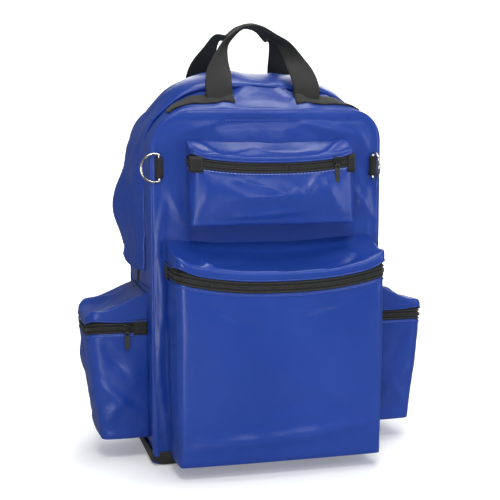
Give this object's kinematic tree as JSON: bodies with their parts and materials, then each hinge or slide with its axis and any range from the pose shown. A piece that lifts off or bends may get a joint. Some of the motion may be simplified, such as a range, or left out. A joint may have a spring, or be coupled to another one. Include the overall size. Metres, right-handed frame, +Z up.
{
  "type": "trauma backpack",
  "caption": "Tall soft backpack with domed zip-around top, front and side lidded pockets, webbing carry handle, D-rings and padded shoulder straps.",
  "frame": {"origin": "centre of the base's underside, on the floor that the bag stands on", "axes": "+Z up, the pocketed front faces -Y, and left and right are as seen from the front"},
  "size_m": [0.51, 0.4108, 0.6289],
  "materials": {
    "blue_fabric": "semi-gloss PVC-coated fabric",
    "black_webbing": "woven webbing",
    "zip_tape": "coil zip and tape",
    "strap_nylon": "woven nylon",
    "foam": "closed-cell foam",
    "boot": "matt coated base",
    "board": "polyethylene sheet",
    "nickel": "nickel-plated wire",
    "buckle": "moulded acetal",
    "slider": "black enamel"
  },
  "bodies": {
    "pack_body": {"front_panel": "blue_fabric", "back_panel": "blue_fabric", "bottom_panel": "blue_fabric", "rear_gusset": "blue_fabric", "lower_gusset_left": "blue_fabric", "lower_gusset_right": "blue_fabric", "main_zip_body_half": "zip_tape", "base_boot": "boot", "base_board": "board", "back_foam": "foam", "lower_pocket": "blue_fabric", "lower_pocket_zip": "zip_tape", "side_pocket_left": "blue_fabric", "side_pocket_right": "blue_fabric", "side_pocket_zips": "zip_tape", "pocket_end_tabs": "black_webbing", "handle_anchors_rear": "black_webbing", "lower_webbing_left": "black_webbing", "lower_webbing_right": "black_webbing"},
    "front_cover": {"cover_panel": "blue_fabric", "cover_gusset": "blue_fabric", "main_zip_cover_half": "zip_tape", "storm_flap": "blue_fabric", "upper_pocket": "blue_fabric", "upper_pocket_zip": "zip_tape", "upper_end_tabs": "black_webbing", "d_ring_tabs": "black_webbing", "handle_anchors_front": "black_webbing"},
    "lower_lid": {"lower_pocket_lid": "blue_fabric"},
    "upper_lid": {"upper_pocket_lid": "blue_fabric"},
    "side_lid_left": {"side_pocket_lid_left": "blue_fabric"},
    "side_lid_right": {"side_pocket_lid_right": "blue_fabric"},
    "front_handle": {"handle_front": "black_webbing"},
    "rear_handle": {"handle_rear": "black_webbing"},
    "ring_left": {"d_ring_left": "nickel"},
    "ring_right": {"d_ring_right": "nickel"},
    "strap_left": {"shoulder_strap_left": "strap_nylon", "strap_foam_left": "foam", "strap_webbing_left": "black_webbing", "buckle_female_left": "buckle", "sternum_webbing_left": "black_webbing"},
    "strap_right": {"shoulder_strap_right": "strap_nylon", "strap_foam_right": "foam", "strap_webbing_right": "black_webbing", "buckle_female_right": "buckle", "sternum_webbing_right": "black_webbing", "sternum_female": "buckle"},
    "male_left": {"buckle_male_left": "buckle"},
    "male_right": {"buckle_male_right": "buckle"},
    "sternum_plug": {"sternum_male": "buckle"},
    "upper_zip_slider": {"upper_slider": "slider"},
    "upper_zip_pull": {"upper_pull": "slider"},
    "lower_zip_slider": {"lower_slider": "slider"},
    "lower_zip_pull": {"lower_pull": "slider"},
    "side_left_zip_slider": {"side_left_slider": "slider"},
    "side_left_zip_pull": {"side_left_pull": "slider"},
    "side_right_zip_slider": {"side_right_slider": "slider"},
    "side_right_zip_pull": {"side_right_pull": "slider"},
    "main_zip_slider_left": {"main_slider_left": "slider"},
    "main_zip_slider_right": {"main_slider_right": "slider"}
  },
  "joints": [
    {"name": "cover_fold", "type": "hinge", "parent": "pack_body", "child": "front_cover", "pos_m": [0, -0.1005, 0.336], "axis": [-1, 0, 0], "range_deg": [-44, 0]},
    {"name": "lower_lid_lift", "type": "hinge", "parent": "pack_body", "child": "lower_lid", "pos_m": [0, -0.1004, 0.322], "axis": [-1, 0, 0], "range_deg": [0, 42]},
    {"name": "upper_lid_lift", "type": "hinge", "parent": "front_cover", "child": "upper_lid", "pos_m": [0, -0.1004, 0.46], "axis": [-1, 0, 0], "range_deg": [0, 60]},
    {"name": "side_lid_left_lift", "type": "hinge", "parent": "pack_body", "child": "side_lid_left", "pos_m": [-0.1654, 0, 0.243], "axis": [0, 1, 0], "range_deg": [0, 50]},
    {"name": "side_lid_right_lift", "type": "hinge", "parent": "pack_body", "child": "side_lid_right", "pos_m": [0.1654, 0, 0.243], "axis": [0, -1, 0], "range_deg": [0, 50]},
    {"name": "front_handle_fold", "type": "hinge", "parent": "front_cover", "child": "front_handle", "pos_m": [0, -0.078, 0.51964], "axis": [1, 0, 0], "range_deg": [0, 110]},
    {"name": "rear_handle_fold", "type": "hinge", "parent": "pack_body", "child": "rear_handle", "pos_m": [0, 0.074, 0.5319], "axis": [-1, 0, 0], "range_deg": [0, 110]},
    {"name": "ring_left_swing", "type": "hinge", "parent": "front_cover", "child": "ring_left", "pos_m": [-0.155, -0.1045, 0.42], "axis": [0, 0, 1], "range_deg": [0, 170]},
    {"name": "ring_right_swing", "type": "hinge", "parent": "front_cover", "child": "ring_right", "pos_m": [0.155, -0.1045, 0.42], "axis": [0, 0, 1], "range_deg": [-85, 85]},
    {"name": "upper_slider_run", "type": "slide", "parent": "front_cover", "child": "upper_zip_slider", "axis": [-1, 0, 0], "range_m": [0, 0.175]},
    {"name": "lower_slider_run", "type": "slide", "parent": "pack_body", "child": "lower_zip_slider", "axis": [0, -1, 0], "range_m": [0, 0.045]},
    {"name": "side_left_slider_run", "type": "slide", "parent": "pack_body", "child": "side_left_zip_slider", "axis": [-1, 0, 0], "range_m": [0, 0.04]},
    {"name": "side_right_slider_run", "type": "slide", "parent": "pack_body", "child": "side_right_zip_slider", "axis": [1, 0, 0], "range_m": [0, 0.04]},
    {"name": "main_slider_left_run", "type": "slide", "parent": "pack_body", "child": "main_zip_slider_left", "axis": [-1, 0, 0], "range_m": [0, 0.042]},
    {"name": "main_slider_right_run", "type": "slide", "parent": "pack_body", "child": "main_zip_slider_right", "axis": [1, 0, 0], "range_m": [0, 0.042]},
    {"name": "upper_pull_swing", "type": "hinge", "parent": "upper_zip_slider", "child": "upper_zip_pull", "pos_m": [0.09, -0.1379, 0.4243], "axis": [-1, 0, 0], "range_deg": [0, 90]},
    {"name": "lower_pull_swing", "type": "hinge", "parent": "lower_zip_slider", "child": "lower_zip_pull", "pos_m": [0.1499, -0.118, 0.2743], "axis": [0, -1, 0], "range_deg": [0, 90]},
    {"name": "side_left_pull_swing", "type": "hinge", "parent": "side_left_zip_slider", "child": "side_left_zip_pull", "pos_m": [-0.197, -0.0699, 0.1883], "axis": [-1, 0, 0], "range_deg": [0, 90]},
    {"name": "side_right_pull_swing", "type": "hinge", "parent": "side_right_zip_slider", "child": "side_right_zip_pull", "pos_m": [0.197, 0.0639, 0.1883], "axis": [1, 0, 0], "range_deg": [0, 90]},
    {"name": "strap_left_swing", "type": "hinge", "parent": "pack_body", "child": "strap_left", "pos_m": [0, 0.1018, 0.506], "axis": [1, 0, 0], "range_deg": [0, 20], "deforming": ["lower_webbing_left"]},
    {"name": "strap_right_swing", "type": "hinge", "parent": "pack_body", "child": "strap_right", "pos_m": [0, 0.1018, 0.506], "axis": [1, 0, 0], "range_deg": [0, 20], "deforming": ["lower_webbing_right"]},
    {"name": "buckle_left_release", "type": "slide", "parent": "strap_left", "child": "male_left", "axis": [-0.0523, 0, -0.9986], "range_m": [0, 0.02]},
    {"name": "buckle_right_release", "type": "slide", "parent": "strap_right", "child": "male_right", "axis": [0.4067, 0, -0.9135], "range_m": [0, 0.02]},
    {"name": "sternum_release", "type": "slide", "parent": "strap_left", "child": "sternum_plug", "axis": [0, 0, -1], "range_m": [0, 0.018], "deforming": ["sternum_webbing_left"]}
  ],
  "couplings": [
    {"joint": "strap_right_swing", "follows": "strap_left_swing", "ratio": 1}
  ]
}
